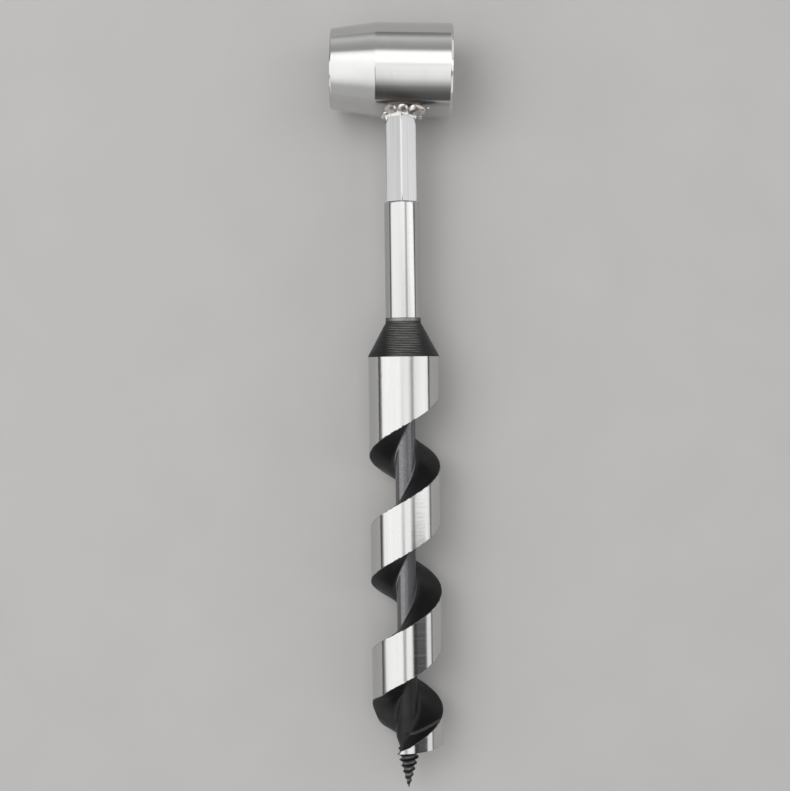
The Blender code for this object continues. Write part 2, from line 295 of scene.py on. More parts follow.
def black_paint(name, colour, roughness, grain):
    """Steel sprayed black: a thin coat with a soft gloss, a fine grain and duller patches.  The mix of the
    coat with the steel that shows through it, where the coat is thin or as painted sheen, is left to be
    linked."""
    material, tree, shader = start_material(name, colour, 0.0, roughness)
    place = add(tree, "ShaderNodeTexCoord", {}, {}).outputs["Object"]
    speckle = add(tree, "ShaderNodeTexNoise", {}, {
        "Vector": place, "Scale": 1.0 / grain, "Detail": 4.0, "Roughness": 0.6})
    patches = add(tree, "ShaderNodeTexNoise", {}, {
        "Vector": place, "Scale": 1.0 / (4.0 * MM), "Detail": 2.0})
    gloss = add(tree, "ShaderNodeMapRange", {}, {
        "Value": patches.outputs["Fac"], "From Min": 0.3, "From Max": 0.7,
        "To Min": roughness - 0.06, "To Max": roughness + 0.1})
    tree.links.new(gloss.outputs["Result"], shader.inputs["Roughness"])
    shader.inputs["Specular IOR Level"].default_value = 0.3
    coat_tone = add(tree, "ShaderNodeMix", {"data_type": "RGBA"}, {
        "Factor": speckle.outputs["Fac"], 6: linear("#0d0d0e"), 7: linear(colour)})
    # Steel colour through the coat: real where the coat is thin, painted sheen where it is put on the
    # highlights.
    steel_and_sheen = add(tree, "ShaderNodeMix", {"data_type": "RGBA"}, {"Factor": 0.0, 6: coat_tone.outputs[2]})
    tree.links.new(steel_and_sheen.outputs[2], shader.inputs["Base Color"])
    relief = add(tree, "ShaderNodeBump", {}, {
        "Strength": 1.0, "Distance": 0.006 * MM, "Height": speckle.outputs["Fac"]})
    tree.links.new(relief.outputs["Normal"], shader.inputs["Normal"])
    return material, tree, shader, place, steel_and_sheen


# Black paint on turned steel, with steel colour on the crests of the tool marks along the top middle of
# the cone, a painted sheen that glints as broken rings where the highlight falls, and thinnest in the band
# above the cone, where the bright shank shows through as grey, mostly on its top middle as painted
# highlight.
# The marks are drawn a little coarser than the real feed, which is too fine to show.
material, tree, shader, place, steel_and_sheen = black_paint("black_paint_turned", "#1b1b1c", 0.4, 0.45 * MM)
rings = add(tree, "ShaderNodeMapping", {}, {"Vector": place, "Scale": (0.05, 1.0, 0.05)})
broken = add(tree, "ShaderNodeTexNoise", {}, {
    "Vector": rings.outputs["Vector"], "Scale": 1.0 / (0.26 * MM), "Detail": 2.0, "Roughness": 0.6})
drift = add(tree, "ShaderNodeTexNoise", {}, {"Vector": place, "Scale": 1.0 / (0.7 * MM), "Detail": 2.0})
ways = add(tree, "ShaderNodeSeparateXYZ", {}, {"Vector": place})
first_crest = float(crossing[1] - cone_start - 0.07 * MM)
from_first = add(tree, "ShaderNodeMath", {"operation": "SUBTRACT"}, {
    0: ways.outputs["Y"], 1: first_crest}).outputs["Value"]
from_first = add(tree, "ShaderNodeMath", {"operation": "MULTIPLY_ADD"}, {
    0: drift.outputs["Fac"], 1: 0.14 * MM, 2: from_first}).outputs["Value"]
from_crest = add(tree, "ShaderNodeMath", {"operation": "PINGPONG"}, {
    0: from_first, 1: GROOVE_PITCH / 2.0}).outputs["Value"]
crests = add(tree, "ShaderNodeMapRange", {}, {
    "Value": from_crest, "From Min": 0.2 * MM, "From Max": 0.04 * MM}).outputs["Result"]
lasting = add(tree, "ShaderNodeMapRange", {}, {
    "Value": broken.outputs["Fac"], "From Min": 0.35, "From Max": 0.6, "To Min": 0.25}).outputs["Result"]
axis_height = float(crossing[2])
# Painted sheen: the crests show steel only on the upper side and the middle of the cone, where the
# highlight falls.
sheen_top = add(tree, "ShaderNodeMapRange", {"interpolation_type": "SMOOTHSTEP"}, {
    "Value": ways.outputs["Z"],
    "From Min": axis_height + 2.0 * MM, "From Max": axis_height + 5.5 * MM}).outputs["Result"]
aside = add(tree, "ShaderNodeMath", {"operation": "SUBTRACT"}, {
    0: ways.outputs["X"], 1: float(crossing[0])}).outputs["Value"]
aside = add(tree, "ShaderNodeMath", {"operation": "ABSOLUTE"}, {0: aside}).outputs["Value"]
middle = add(tree, "ShaderNodeMapRange", {"interpolation_type": "SMOOTHSTEP"}, {
    "Value": aside, "From Min": 7.0 * MM, "From Max": 2.0 * MM}).outputs["Result"]
crest_sheen = crests
for mask in (lasting, sheen_top, middle):
    crest_sheen = add(tree, "ShaderNodeMath", {"operation": "MULTIPLY"}, {0: crest_sheen, 1: mask}).outputs["Value"]
wavering = add(tree, "ShaderNodeMath", {"operation": "MULTIPLY_ADD"}, {
    0: drift.outputs["Fac"], 1: 0.7 * MM, 2: ways.outputs["Y"]}).outputs["Value"]
mist_ends = float(crossing[1] - SHOULDER_START - SHOULDER_BAND + 0.75 * MM)
mist = add(tree, "ShaderNodeMapRange", {}, {
    "Value": wavering, "From Min": mist_ends, "From Max": mist_ends + 0.3 * MM}).outputs["Result"]
mist_starts = float(crossing[1] - SHOULDER_START + 0.1 * MM)
fading = add(tree, "ShaderNodeMapRange", {}, {
    "Value": wavering, "From Min": mist_starts, "From Max": mist_starts + 0.15 * MM,
    "To Min": 1.0, "To Max": 0.25}).outputs["Result"]
# Painted highlight: the overspray band shows steel mostly on its top middle, where the shank's highlight
# falls; the thin band itself is real.
band_sheen_top = add(tree, "ShaderNodeMapRange", {}, {
    "Value": aside, "From Min": 5.6 * MM, "From Max": 4.0 * MM, "To Min": 0.15}).outputs["Result"]
band = mist
for mask in (fading, band_sheen_top):
    band = add(tree, "ShaderNodeMath", {"operation": "MULTIPLY"}, {0: band, 1: mask}).outputs["Value"]
bare_and_sheen = add(tree, "ShaderNodeMath", {"operation": "MAXIMUM"}, {0: band, 1: crest_sheen}).outputs["Value"]
tree.links.new(bare_and_sheen, steel_and_sheen.inputs["Factor"])
tree.links.new(bare_and_sheen, shader.inputs["Metallic"])
steel_and_sheen.inputs[7].default_value = linear("#8d8d8a")
black_shoulder.data.materials.append(material)
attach(black_shoulder, "root")
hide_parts("shoulder_cone")

# Twist: one right-hand flight round a core, which cuts with its lip and carries the chips up its flute.
# Milled from the bar and sprayed black; then its rim is ground bright to size and its lower end is ground
# to the lip.

TWIST_START = 100.51 * MM
TWIST_END = 237.4 * MM
PITCH = 44.4 * MM
TOP_EDGE = np.array((
    (105.8, 720.0), (149.8, 360.0), (193.75, 0.0), (235.4, -360.0), (236.4, -374.0), (237.4, -376.0)))
UNDERSIDE = np.array((
    (80.0, 1079.5), (124.25, 720.0), (168.56, 360.0), (212.25, 0.0), (215.7, -29.0), (217.2, -40.0),
    (218.5, -50.0), (219.2, -60.0), (220.3, -73.0), (222.0, -86.0), (226.0, -108.0), (230.0, -123.0),
    (232.2, -134.0), (234.9, -157.0), (237.4, -178.0)))
CORE_PLACES = np.array((222.0, 228.0, 232.0, 234.5, 237.4)) * MM
CORE_RADII = np.array((3.4, 3.8, 4.4, 4.1, 3.1)) * MM
LIP_LINE = 232.78 * MM
LIP_LINE_SLOPE = 0.475
LIP_CUT = 0.3
LIP_CUT_MOST = 0.4 * MM
LIP_CUT_FROM = 222.0 * MM
LIP_CUT_FOOT = 3.0 * MM
LIP_CUT_RAMP = 1.5 * MM
WALL_DRAFT = 1.4 * MM
FLUTE_FILLET = 1.9 * MM
RUNOUT_START = 812.0
RUNOUT_END = 905.0
GRIND_SLOPE = math.tan(math.radians(3.0))
GRIND_DEPTH = 20.0 * MM
EDGE_ROUND = 0.16 * MM
TWIST_ROWS = 560
LAND_STEPS = 40
WALL_STEPS = 7
FILLET_STEPS = 14
FLOOR_STEPS = 26


def through(points, places):
    """A smooth line through (place in mm, value) points: between two of them a cubic, whose slope at each
    is the mean of the slopes on its two sides, the shorter side counting for more."""
    known = points[:, 0] * MM
    slopes = np.gradient(points[:, 1], known)
    k = np.clip(np.searchsorted(known, places) - 1, 0, len(known) - 2)
    span = known[k + 1] - known[k]
    t = np.clip((places - known[k]) / span, 0.0, 1.0)
    near = (1.0 + 2.0 * t) * (1.0 - t) ** 2 * points[k, 1] + t * (1.0 - t) ** 2 * span * slopes[k]
    far = t ** 2 * (3.0 - 2.0 * t) * points[k + 1, 1] + t ** 2 * (t - 1.0) * span * slopes[k + 1]
    return near + far


# Each row is the section square to the bit: land on the rim, rounded edge, flute wall, fillet, core and
# back up.  The two edges' angles run down along the bit, which winds the section into a flight.  Above
# the first turn the flute runs out to the rim.
lip_places = TOP_EDGE[-3:, 0] * MM
places = np.concatenate((
    np.linspace(TWIST_START, lip_places[0], TWIST_ROWS),
    np.linspace(lip_places[0], lip_places[1], 6)[1:],
    np.linspace(lip_places[1], lip_places[2], 8)[1:],
))[:, None]
first_pitch = (TOP_EDGE[1, 0] - TOP_EDGE[0, 0]) * MM
above = np.maximum(TOP_EDGE[0, 0] * MM - places, 0.0) * 360.0 / first_pitch
upper = np.interp(places, TOP_EDGE[:, 0] * MM, TOP_EDGE[:, 1]) + above
under = through(UNDERSIDE, places)
edge_turn = math.degrees(EDGE_ROUND / TWIST_R)
share = np.linspace(0.0, 1.0, LAND_STEPS + 1)
land = upper + edge_turn + (under - upper - 2.0 * edge_turn) * share
bend = np.linspace(0.0, math.pi / 2.0, FILLET_STEPS + 1)
wall_share = np.linspace(0.0, 1.0, WALL_STEPS, endpoint=False)
wall_along = np.concatenate((
    [-0.3 * EDGE_ROUND], WALL_DRAFT * wall_share, WALL_DRAFT + FLUTE_FILLET * (1.0 - np.cos(bend))))
core_r = np.interp(places, CORE_PLACES, CORE_RADII)
wall_r = np.concatenate((
    np.full(places.shape, TWIST_R - 0.3 * EDGE_ROUND),
    TWIST_R - EDGE_ROUND + (core_r + FLUTE_FILLET - TWIST_R + EDGE_ROUND) * wall_share,
    core_r + FLUTE_FILLET * (1.0 - np.sin(bend))), axis=1)
wall_turn = wall_along * 360.0 / PITCH
floor_share = np.linspace(0.0, 1.0, FLOOR_STEPS + 1)[1:-1]
floor_from = under + wall_turn[-1]
floor_to = upper + 360.0 - wall_turn[-1]
flute = np.concatenate((
    under + wall_turn,
    floor_from + (floor_to - floor_from) * floor_share,
    upper + 360.0 - wall_turn[::-1]), axis=1)
flute_r = np.concatenate((wall_r, np.repeat(core_r, FLOOR_STEPS - 1, axis=1), wall_r[:, ::-1]), axis=1)
rise = np.clip((flute - RUNOUT_START) / (RUNOUT_END - RUNOUT_START), 0.0, 1.0)
flute_r = TWIST_R - (TWIST_R - flute_r) * (1.0 - rise ** 2)
twist_angles = np.radians(np.concatenate((land, flute), axis=1))
twist_r = np.concatenate((np.full(land.shape, TWIST_R), flute_r), axis=1)
tipped = np.clip((places - TWIST_END + GRIND_DEPTH) / GRIND_DEPTH, 0.0, 1.0)
sideways = twist_r * np.sin(twist_angles)
up = twist_r * np.cos(twist_angles)

# The lip's upper face is filed back a little beyond a straight line that runs from the rim to the core.
beyond = places + LIP_LINE_SLOPE * sideways - LIP_LINE
room = np.concatenate((np.zeros(twist_r.shape[1] - len(wall_along)), np.maximum(wall_along[::-1], 0.0)))
filed = np.clip(LIP_CUT * beyond, 0.0, np.minimum(0.5 * room, LIP_CUT_MOST))
on_lip = (places > LIP_CUT_FROM) * np.clip((up - LIP_CUT_FOOT) / LIP_CUT_RAMP, 0.0, 1.0)
twist_grid = around_bit(twist_r, twist_angles, places + filed * on_lip - GRIND_SLOPE * tipped * sideways)
auger_twist = skin("auger_twist", twist_grid)

# Each point keeps its distance from the nearer edge of the land; where the flute has run out there is none.
land_width = (under - upper) * math.pi / 180.0 * TWIST_R
from_upper = share * land_width + rise[:, -1:] * TWIST_R
from_under = (1.0 - share) * land_width + rise[:, :1] * TWIST_R
from_edge = np.concatenate((np.minimum(from_upper, from_under), rise * TWIST_R), axis=1)
edge_data = auger_twist.data.attributes.new("from_edge", "FLOAT", "POINT")
edge_data.data.foreach_set("value", from_edge.ravel().astype(np.float32))

# Ground steel of the land: bright, with the black of the flute running over its edges in ragged chips.
material = bright_steel("ground_land_steel", "#d0d0cf", "#c6c6c5", 0.6 * MM, 0.11, 0.003 * MM)
tree = material.node_tree
shader = tree.nodes["Principled BSDF"]
place = add(tree, "ShaderNodeTexCoord", {}, {}).outputs["Object"]
chips = add(tree, "ShaderNodeTexNoise", {}, {
    "Vector": place, "Scale": 1.0 / (1.5 * MM), "Detail": 5.0, "Roughness": 0.7})
ragged = add(tree, "ShaderNodeMapRange", {"clamp": False}, {
    "Value": chips.outputs["Fac"], "From Min": 0.45, "From Max": 0.75, "To Max": 0.9 * MM})
edge = add(tree, "ShaderNodeAttribute", {"attribute_name": "from_edge"}, {}).outputs["Fac"]
inside = add(tree, "ShaderNodeMath", {"operation": "SUBTRACT"}, {0: edge, 1: ragged.outputs["Result"]})
clean = add(tree, "ShaderNodeMapRange", {}, {
    "Value": inside.outputs["Value"], "From Max": 0.1 * MM, "To Min": 0.12}).outputs["Result"]
bright = shader.inputs["Base Color"].links[0].from_socket
blacked = add(tree, "ShaderNodeMix", {"data_type": "RGBA"}, {
    "Factor": clean, 6: linear("#161617"), 7: bright})
tree.links.new(blacked.outputs[2], shader.inputs["Base Color"])
tree.links.new(clean, shader.inputs["Metallic"])
auger_twist.data.materials.append(material)

# Black paint on milled steel: dead black on the walls; a grey gloss of steel colour on the core is a
# painted sheen where its highlight falls, all round in the first turn, mostly on its -X side in the second,
# fading out towards the tip; a painted highlight runs along the lip's filed line on its upper face.
material, tree, shader, place, steel_and_sheen = black_paint("black_paint_milled", "#1a1a1b", 0.4, 0.4 * MM)
from_crossing = add(tree, "ShaderNodeVectorMath", {"operation": "SUBTRACT"}, {
    0: place, 1: crossing.tolist()}).outputs["Vector"]
outward = add(tree, "ShaderNodeVectorMath", {"operation": "MULTIPLY"}, {
    0: from_crossing, 1: (1.0, 0.0, 1.0)})
out_from_axis = add(tree, "ShaderNodeVectorMath", {"operation": "LENGTH"}, {0: outward.outputs["Vector"]})
on_core = add(tree, "ShaderNodeMapRange", {"interpolation_type": "SMOOTHSTEP"}, {
    "Value": out_from_axis.outputs["Value"], "From Min": 3.8 * MM, "From Max": 3.45 * MM}).outputs["Result"]
ways = add(tree, "ShaderNodeSeparateXYZ", {}, {"Vector": from_crossing})
along_bit = ways.outputs["Y"]
up_the_flute = add(tree, "ShaderNodeMapRange", {}, {
    "Value": along_bit, "From Min": -215.0 * MM, "From Max": -193.0 * MM, "To Min": 0.03}).outputs["Result"]
# Painted sheen: the core's -X side gets more steel colour than its +X side, which stays darker.
left_side = add(tree, "ShaderNodeMapRange", {}, {
    "Value": ways.outputs["X"], "From Min": 1.8 * MM, "From Max": -1.0 * MM, "To Min": 0.35})
first_turn = add(tree, "ShaderNodeMapRange", {}, {
    "Value": along_bit, "From Min": -165.0 * MM, "From Max": -148.0 * MM, "To Max": 0.8})
all_round = add(tree, "ShaderNodeMath", {"operation": "MAXIMUM"}, {
    0: left_side.outputs["Result"], 1: first_turn.outputs["Result"]}).outputs["Value"]
grit = add(tree, "ShaderNodeTexNoise", {}, {
    "Vector": place, "Scale": 1.0 / (0.6 * MM), "Detail": 4.0, "Roughness": 0.7})
sheen_patches = add(tree, "ShaderNodeMapRange", {}, {
    "Value": grit.outputs["Fac"], "From Min": 0.3, "From Max": 0.65, "To Min": 0.7}).outputs["Result"]
bare_and_sheen = on_core
for mask in (up_the_flute, all_round, sheen_patches):
    bare_and_sheen = add(tree, "ShaderNodeMath", {"operation": "MULTIPLY"}, {0: bare_and_sheen, 1: mask}).outputs["Value"]
crosswise = add(tree, "ShaderNodeVectorMath", {"operation": "DOT_PRODUCT"}, {
    0: from_crossing, 1: (LIP_LINE_SLOPE, -1.0, 0.0)}).outputs["Value"]
beside = add(tree, "ShaderNodeMath", {"operation": "SUBTRACT"}, {
    0: crosswise, 1: LIP_LINE}).outputs["Value"]
from_line = add(tree, "ShaderNodeMath", {"operation": "ABSOLUTE"}, {0: beside}).outputs["Value"]
# Painted highlight: steel colour in a thin line along the lip's filed edge, on its upper face near the tip.
lip_line_highlight = add(tree, "ShaderNodeMapRange", {}, {
    "Value": from_line, "From Min": 0.45 * MM, "From Max": 0.15 * MM, "To Max": 0.75}).outputs["Result"]
on_face = add(tree, "ShaderNodeMapRange", {}, {
    "Value": ways.outputs["Z"], "From Min": 4.5 * MM, "From Max": 5.5 * MM}).outputs["Result"]
near_tip = add(tree, "ShaderNodeMapRange", {}, {
    "Value": along_bit, "From Min": -226.0 * MM, "From Max": -227.0 * MM}).outputs["Result"]
for mask in (on_face, near_tip):
    lip_line_highlight = add(tree, "ShaderNodeMath", {"operation": "MULTIPLY"}, {
        0: lip_line_highlight, 1: mask}).outputs["Value"]
bare_and_sheen = add(tree, "ShaderNodeMath", {"operation": "MAXIMUM"}, {0: bare_and_sheen, 1: lip_line_highlight}).outputs["Value"]
tree.links.new(bare_and_sheen, steel_and_sheen.inputs["Factor"])
tree.links.new(bare_and_sheen, shader.inputs["Metallic"])
steel_and_sheen.inputs[7].default_value = linear("#7e7e81")
dull = shader.inputs["Roughness"].links[0].from_socket
gloss = add(tree, "ShaderNodeMix", {}, {0: bare_and_sheen, 2: dull, 3: 0.2})
tree.links.new(gloss.outputs[0], shader.inputs["Roughness"])
auger_twist.data.materials.append(material)
next_r = np.roll(twist_r, -1, axis=1)
face_r = (twist_r[:-1] + twist_r[1:] + next_r[:-1] + next_r[1:]) / 4.0
finish_index = np.append(face_r < TWIST_R - EDGE_ROUND, (False, True)).astype(np.int32)
auger_twist.data.polygons.foreach_set("material_index", finish_index)
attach(auger_twist, "root")
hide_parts("twist")

# Lead screw: the point that pulls the bit into the wood, a convex cone with a coarse sharp thread.
# Turned on the end of the bar and sprayed black with the rest.

SCREW_START = 237.41 * MM
SCREW_TIP = 252.4 * MM
SCREW_NECK_R = 2.9 * MM
SCREW_NECK_END = 237.8 * MM
SCREW_FULL = 238.6 * MM
SCREW_GROWN = 239.5 * MM
SCREW_CREST_R = 4.45 * MM
SCREW_TIP_R = 0.12 * MM
SCREW_PITCH = 2.1 * MM
SCREW_CREST_AT = 241.7 * MM
SCREW_DEPTH_SHARE = 0.3
SCREW_BELLY = 0.86
SCREW_COLUMNS = 48
SCREW_ROWS = 300

# Every column follows the thread, so a crest and a root each run along one column; the depth shrinks
# towards the tip.
screw_places = np.linspace(SCREW_START, SCREW_TIP, SCREW_ROWS)[:, None]
column = np.arange(SCREW_COLUMNS) / SCREW_COLUMNS
thread = np.abs(2.0 * column - 1.0) ** 1.5
left = np.clip((SCREW_TIP - screw_places) / (SCREW_TIP - SCREW_FULL), 0.0, 1.0)
crest = SCREW_TIP_R + (SCREW_CREST_R - SCREW_TIP_R) * left ** SCREW_BELLY
grown = np.clip((screw_places - SCREW_NECK_END) / (SCREW_GROWN - SCREW_NECK_END), 0.0, 1.0)
threaded = crest * (1.0 - SCREW_DEPTH_SHARE * (1.0 - thread))
screw_r = SCREW_NECK_R + (threaded - SCREW_NECK_R) * grown
turn = column + 0.25 - (screw_places - SCREW_CREST_AT) / SCREW_PITCH
screw_point = skin("screw_point", around_bit(screw_r, 2.0 * math.pi * turn, screw_places))
root_data = screw_point.data.attributes.new("in_root", "FLOAT", "POINT")
root_data.data.foreach_set("value", ((1.0 - thread) * grown).ravel().astype(np.float32))

# Black paint on the thread: as on the flute's walls, with patches of grey steel colour in the roots, a
# painted sheen standing in for the thread's highlights.
material, tree, shader, place, steel_and_sheen = black_paint("black_paint_threaded", "#121213", 0.38, 0.3 * MM)
root_sheen_noise = add(tree, "ShaderNodeTexNoise", {}, {"Vector": place, "Scale": 1.0 / (1.3 * MM), "Detail": 3.0})
patchy = add(tree, "ShaderNodeMapRange", {}, {
    "Value": root_sheen_noise.outputs["Fac"], "From Min": 0.35, "From Max": 0.6, "To Min": 0.15}).outputs["Result"]
root = add(tree, "ShaderNodeAttribute", {"attribute_name": "in_root"}, {}).outputs["Fac"]
deep = add(tree, "ShaderNodeMapRange", {}, {
    "Value": root, "From Min": 0.5, "From Max": 0.9}).outputs["Result"]
# Painted sheen: steel colour in patches along the thread roots.
bare_and_sheen = add(tree, "ShaderNodeMath", {"operation": "MULTIPLY"}, {0: deep, 1: patchy}).outputs["Value"]
tree.links.new(bare_and_sheen, steel_and_sheen.inputs["Factor"])
tree.links.new(bare_and_sheen, shader.inputs["Metallic"])
steel_and_sheen.inputs[7].default_value = linear("#7a7a7a")
screw_point.data.materials.append(material)
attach(screw_point, "root")
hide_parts("lead_screw")

# Eye: the tube that a wooden cross handle is pushed through, straight at one end and tapered at the other.
# Cut from thick steel tube and turned bright all over; the weld holds it slightly out of square.

EYE_R = 16.25 * MM
EYE_BORE_R = 12.5 * MM
EYE_SMALL_R = 13.9 * MM
EYE_STRAIGHT_END = 18.2 * MM
EYE_TAPER_START = -8.5 * MM
EYE_TAPER_END = -24.3 * MM
EYE_SKEW = math.radians(1.5)
EYE_SEGMENTS = 320
EYE_CORNER_STEPS = 12

# Each row gives a corner of the wall's section, along the eye and out from its axis, and how far it is
# rounded.
eye_corners = np.array((
    (EYE_TAPER_END, EYE_BORE_R + 0.3 * MM, 0.05 * MM),
    (EYE_TAPER_END, EYE_SMALL_R - 0.25 * MM, 0.1 * MM),
    (EYE_TAPER_END + 0.5 * MM, EYE_SMALL_R + 0.07 * MM, 0.1 * MM),
    (EYE_TAPER_START, EYE_R, 0.25 * MM),
    (EYE_STRAIGHT_END - 0.75 * MM, EYE_R, 0.12 * MM),
    (EYE_STRAIGHT_END, EYE_R - 0.45 * MM, 0.12 * MM),
    (EYE_STRAIGHT_END, EYE_BORE_R + 0.3 * MM, 0.05 * MM),
    (EYE_STRAIGHT_END - 0.3 * MM, EYE_BORE_R, 0.05 * MM),
    (EYE_TAPER_END + 0.3 * MM, EYE_BORE_R, 0.05 * MM),
))


def rounded(corners, steps):
    """A closed outline whose corners are parabolas: each leaves its side a little before the corner, bends
    past it and joins the next side; a point further out on each side keeps the flats flat."""
    point = corners[:, :2]
    reach = corners[:, 2:]
    back = np.roll(point, 1, axis=0) - point
    ahead = np.roll(point, -1, axis=0) - point
    back = back / np.linalg.norm(back, axis=1, keepdims=True) * reach
    ahead = ahead / np.linalg.norm(ahead, axis=1, keepdims=True) * reach
    t = np.linspace(0.0, 1.0, steps + 1)[:, None]
    arcs = point[:, None] + (1.0 - t) ** 2 * back[:, None] + t ** 2 * ahead[:, None]
    guards = (point + 2.2 * back)[:, None], arcs, (point + 2.2 * ahead)[:, None]
    return np.concatenate(guards, axis=1).reshape(-1, 2)


eye_outline = rounded(eye_corners, EYE_CORNER_STEPS)
eye_angles = np.linspace(0.0, 2.0 * math.pi, EYE_SEGMENTS, endpoint=False)[:, None]
along_eye = np.broadcast_to(eye_outline[:, 0], (EYE_SEGMENTS, len(eye_outline)))
out_y = eye_outline[:, 1] * np.sin(eye_angles)
out_z = eye_outline[:, 1] * np.cos(eye_angles)


def on_eye(x, y, z):
    """Points given along the eye and square to it, turned out of square with the bit by the skew and put
    at the crossing."""
    turned_x = x * math.cos(EYE_SKEW) + y * math.sin(EYE_SKEW)
    turned_y = y * math.cos(EYE_SKEW) - x * math.sin(EYE_SKEW)
    return crossing + np.stack((turned_x, turned_y, z), -1)


turned_eye = skin("turned_eye", on_eye(along_eye, out_y, out_z), rows_close=True)

# Turned steel: bright, with close rings from the lathe tool round the tube, soft patches from handling
# and a straw tint where the weld heated it.
material, tree, shader = start_material("turned_steel", "#d0d0ce", 1.0, 0.1)
place = add(tree, "ShaderNodeTexCoord", {}, {}).outputs["Object"]
squared = add(tree, "ShaderNodeMapping", {}, {
    "Vector": place, "Rotation": (0.0, 0.0, EYE_SKEW), "Scale": (1.0, 0.03, 0.03)})
rings = add(tree, "ShaderNodeTexNoise", {}, {
    "Vector": squared.outputs["Vector"], "Scale": 1.0 / (0.5 * MM), "Detail": 4.0, "Roughness": 0.6})
patches = add(tree, "ShaderNodeTexNoise", {}, {"Vector": place, "Scale": 1.0 / (7.0 * MM), "Detail": 3.0})
tone = add(tree, "ShaderNodeMix", {"data_type": "RGBA"}, {
    "Factor": patches.outputs["Fac"], 6: linear("#c8c8c6"), 7: linear("#d3d3d2")})
from_weld = add(tree, "ShaderNodeVectorMath", {"operation": "DISTANCE"}, {
    0: place, 1: (crossing + np.array((0.0, -15.2, 5.5)) * MM).tolist()})
spread_heat = add(tree, "ShaderNodeMath", {"operation": "MULTIPLY_ADD"}, {
    0: patches.outputs["Fac"], 1: 5.0 * MM, 2: from_weld.outputs["Value"]})
heat = add(tree, "ShaderNodeMapRange", {"interpolation_type": "SMOOTHSTEP"}, {
    "Value": spread_heat.outputs["Value"], "From Min": 13.0 * MM, "From Max": 6.0 * MM, "To Max": 0.8})
tinted = add(tree, "ShaderNodeMix", {"data_type": "RGBA"}, {
    "Factor": heat.outputs["Result"], 6: tone.outputs[2], 7: linear("#b3a49a")})
tree.links.new(tinted.outputs[2], shader.inputs["Base Color"])
gloss = add(tree, "ShaderNodeMapRange", {}, {
    "Value": rings.outputs["Fac"], "From Min": 0.3, "From Max": 0.7, "To Min": 0.13, "To Max": 0.07})
tree.links.new(gloss.outputs["Result"], shader.inputs["Roughness"])
relief = add(tree, "ShaderNodeBump", {}, {
    "Strength": 1.0, "Distance": 0.002 * MM, "Height": rings.outputs["Fac"]})
tree.links.new(relief.outputs["Normal"], shader.inputs["Normal"])
turned_eye.data.materials.append(material)
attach(turned_eye, "root")
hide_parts("eye_tube")

# Weld: the bead that joins the eye to the shank, run round the hexagon by hand in short pulls.
# Bare weld metal: a hollow fillet down the hexagon, and a round puddle with fine curved ripples on the eye
# where each pull ended, the largest on the right of the shank, with one small bead of spatter beside it.

WELD_SHANK_END = 18.2 * MM
WELD_HOLLOW = 0.42 * MM
WELD_MELT = 0.12 * MM
WELD_SINK = 0.15 * MM
WELD_BULGE = 0.3
WELD_PUDDLES = np.array((
    (-57.0, 5.9, 1.4, 0.6), (-28.0, 7.4, 2.2, 0.8), (6.0, 7.0, 2.0, 0.75), (43.0, 8.1, 3.0, 1.1),
    (78.0, 6.0, 1.6, 0.7), (104.0, 6.0, 1.7, 0.8), (131.0, 6.5, 2.0, 0.9), (157.0, 7.0, 2.4, 1.1),
    (184.0, 7.3, 2.3, 0.9), (211.0, 7.0, 2.3, 1.0), (238.0, 6.2, 1.8, 0.8), (261.0, 5.6, 1.5, 0.7),
    (283.0, 5.5, 1.3, 0.6)))
RIPPLE_PITCH = 0.9 * MM
RIPPLE_HEIGHT = 0.02 * MM
WELD_ROUND_STEPS = 480
WELD_SECTION_STEPS = 64
SPATTER_AT = np.array((9.63, -14.75, 7.0)) * MM
SPATTER_R = 0.5 * MM


def eye_surface(x, z):
    """Distance along the bit at which the eye's outside is met, above a point given square to the bit."""
    reach = np.sqrt(EYE_R ** 2 - z ** 2)
    return (reach + x * math.sin(EYE_SKEW)) / math.cos(EYE_SKEW)


def cap(apart, rise):
    """A flat drop with a round edge: full rise in the middle, none where apart is one, and beyond that it
    sinks below the eye."""
    fall = 1.0 - apart ** 4
    return np.maximum(rise * np.sign(fall) * np.sqrt(np.abs(fall)), -WELD_SINK)


# Each puddle is given by its angle round the bit, its distance out, its radius and its rise in mm.  The
# section runs out over the eye from the hexagon; each point stands at a mean of the fillet and the puddles
# in which the highest counts most, so that they melt together, and leans outwards on a puddle.  It ends
# just under the eye's surface, and the underside runs back below it.
weld_angles = np.linspace(0.0, 2.0 * math.pi, WELD_ROUND_STEPS, endpoint=False)[:, None]
over = np.linspace(0.0, 1.0, WELD_SECTION_STEPS) ** 1.6
inner_r = HEX_FLATS / 2.0 / np.cos(weld_angles % (math.pi / 3.0) - math.pi / 6.0) - 0.3 * MM
spread = (4.3 + 0.9 * np.sin(weld_angles)) * MM
bead_r = inner_r + spread * over
bead_x = bead_r * np.sin(weld_angles)
bead_z = bead_r * np.cos(weld_angles)
bead_place = eye_surface(bead_x, bead_z)
fillet = (WELD_SHANK_END - bead_place[:, :1]) * np.exp(-spread * over / WELD_HOLLOW) - WELD_SINK * over
puddle_angle = np.radians(WELD_PUDDLES[:, 0])
puddle_out = WELD_PUDDLES[:, 1] * MM
from_x = bead_x[..., None] - puddle_out * np.sin(puddle_angle)
from_z = bead_z[..., None] - puddle_out * np.cos(puddle_angle)
apart = np.hypot(from_x, from_z)
puddles = cap(apart / (WELD_PUDDLES[:, 2] * MM), WELD_PUDDLES[:, 3] * MM)
ripple = RIPPLE_HEIGHT * np.cos(2.0 * math.pi * np.hypot(from_x + 0.6 * MM, from_z) / RIPPLE_PITCH)
puddles = puddles + ripple * np.clip(puddles / MM, 0.0, 1.0)
highest = puddles.max(axis=-1)
lumps = np.concatenate((fillet[..., None], puddles), axis=-1)
weight = np.exp((lumps - lumps.max(axis=-1, keepdims=True)) / WELD_MELT)
rise = (lumps * weight).sum(axis=-1) / weight.sum(axis=-1)
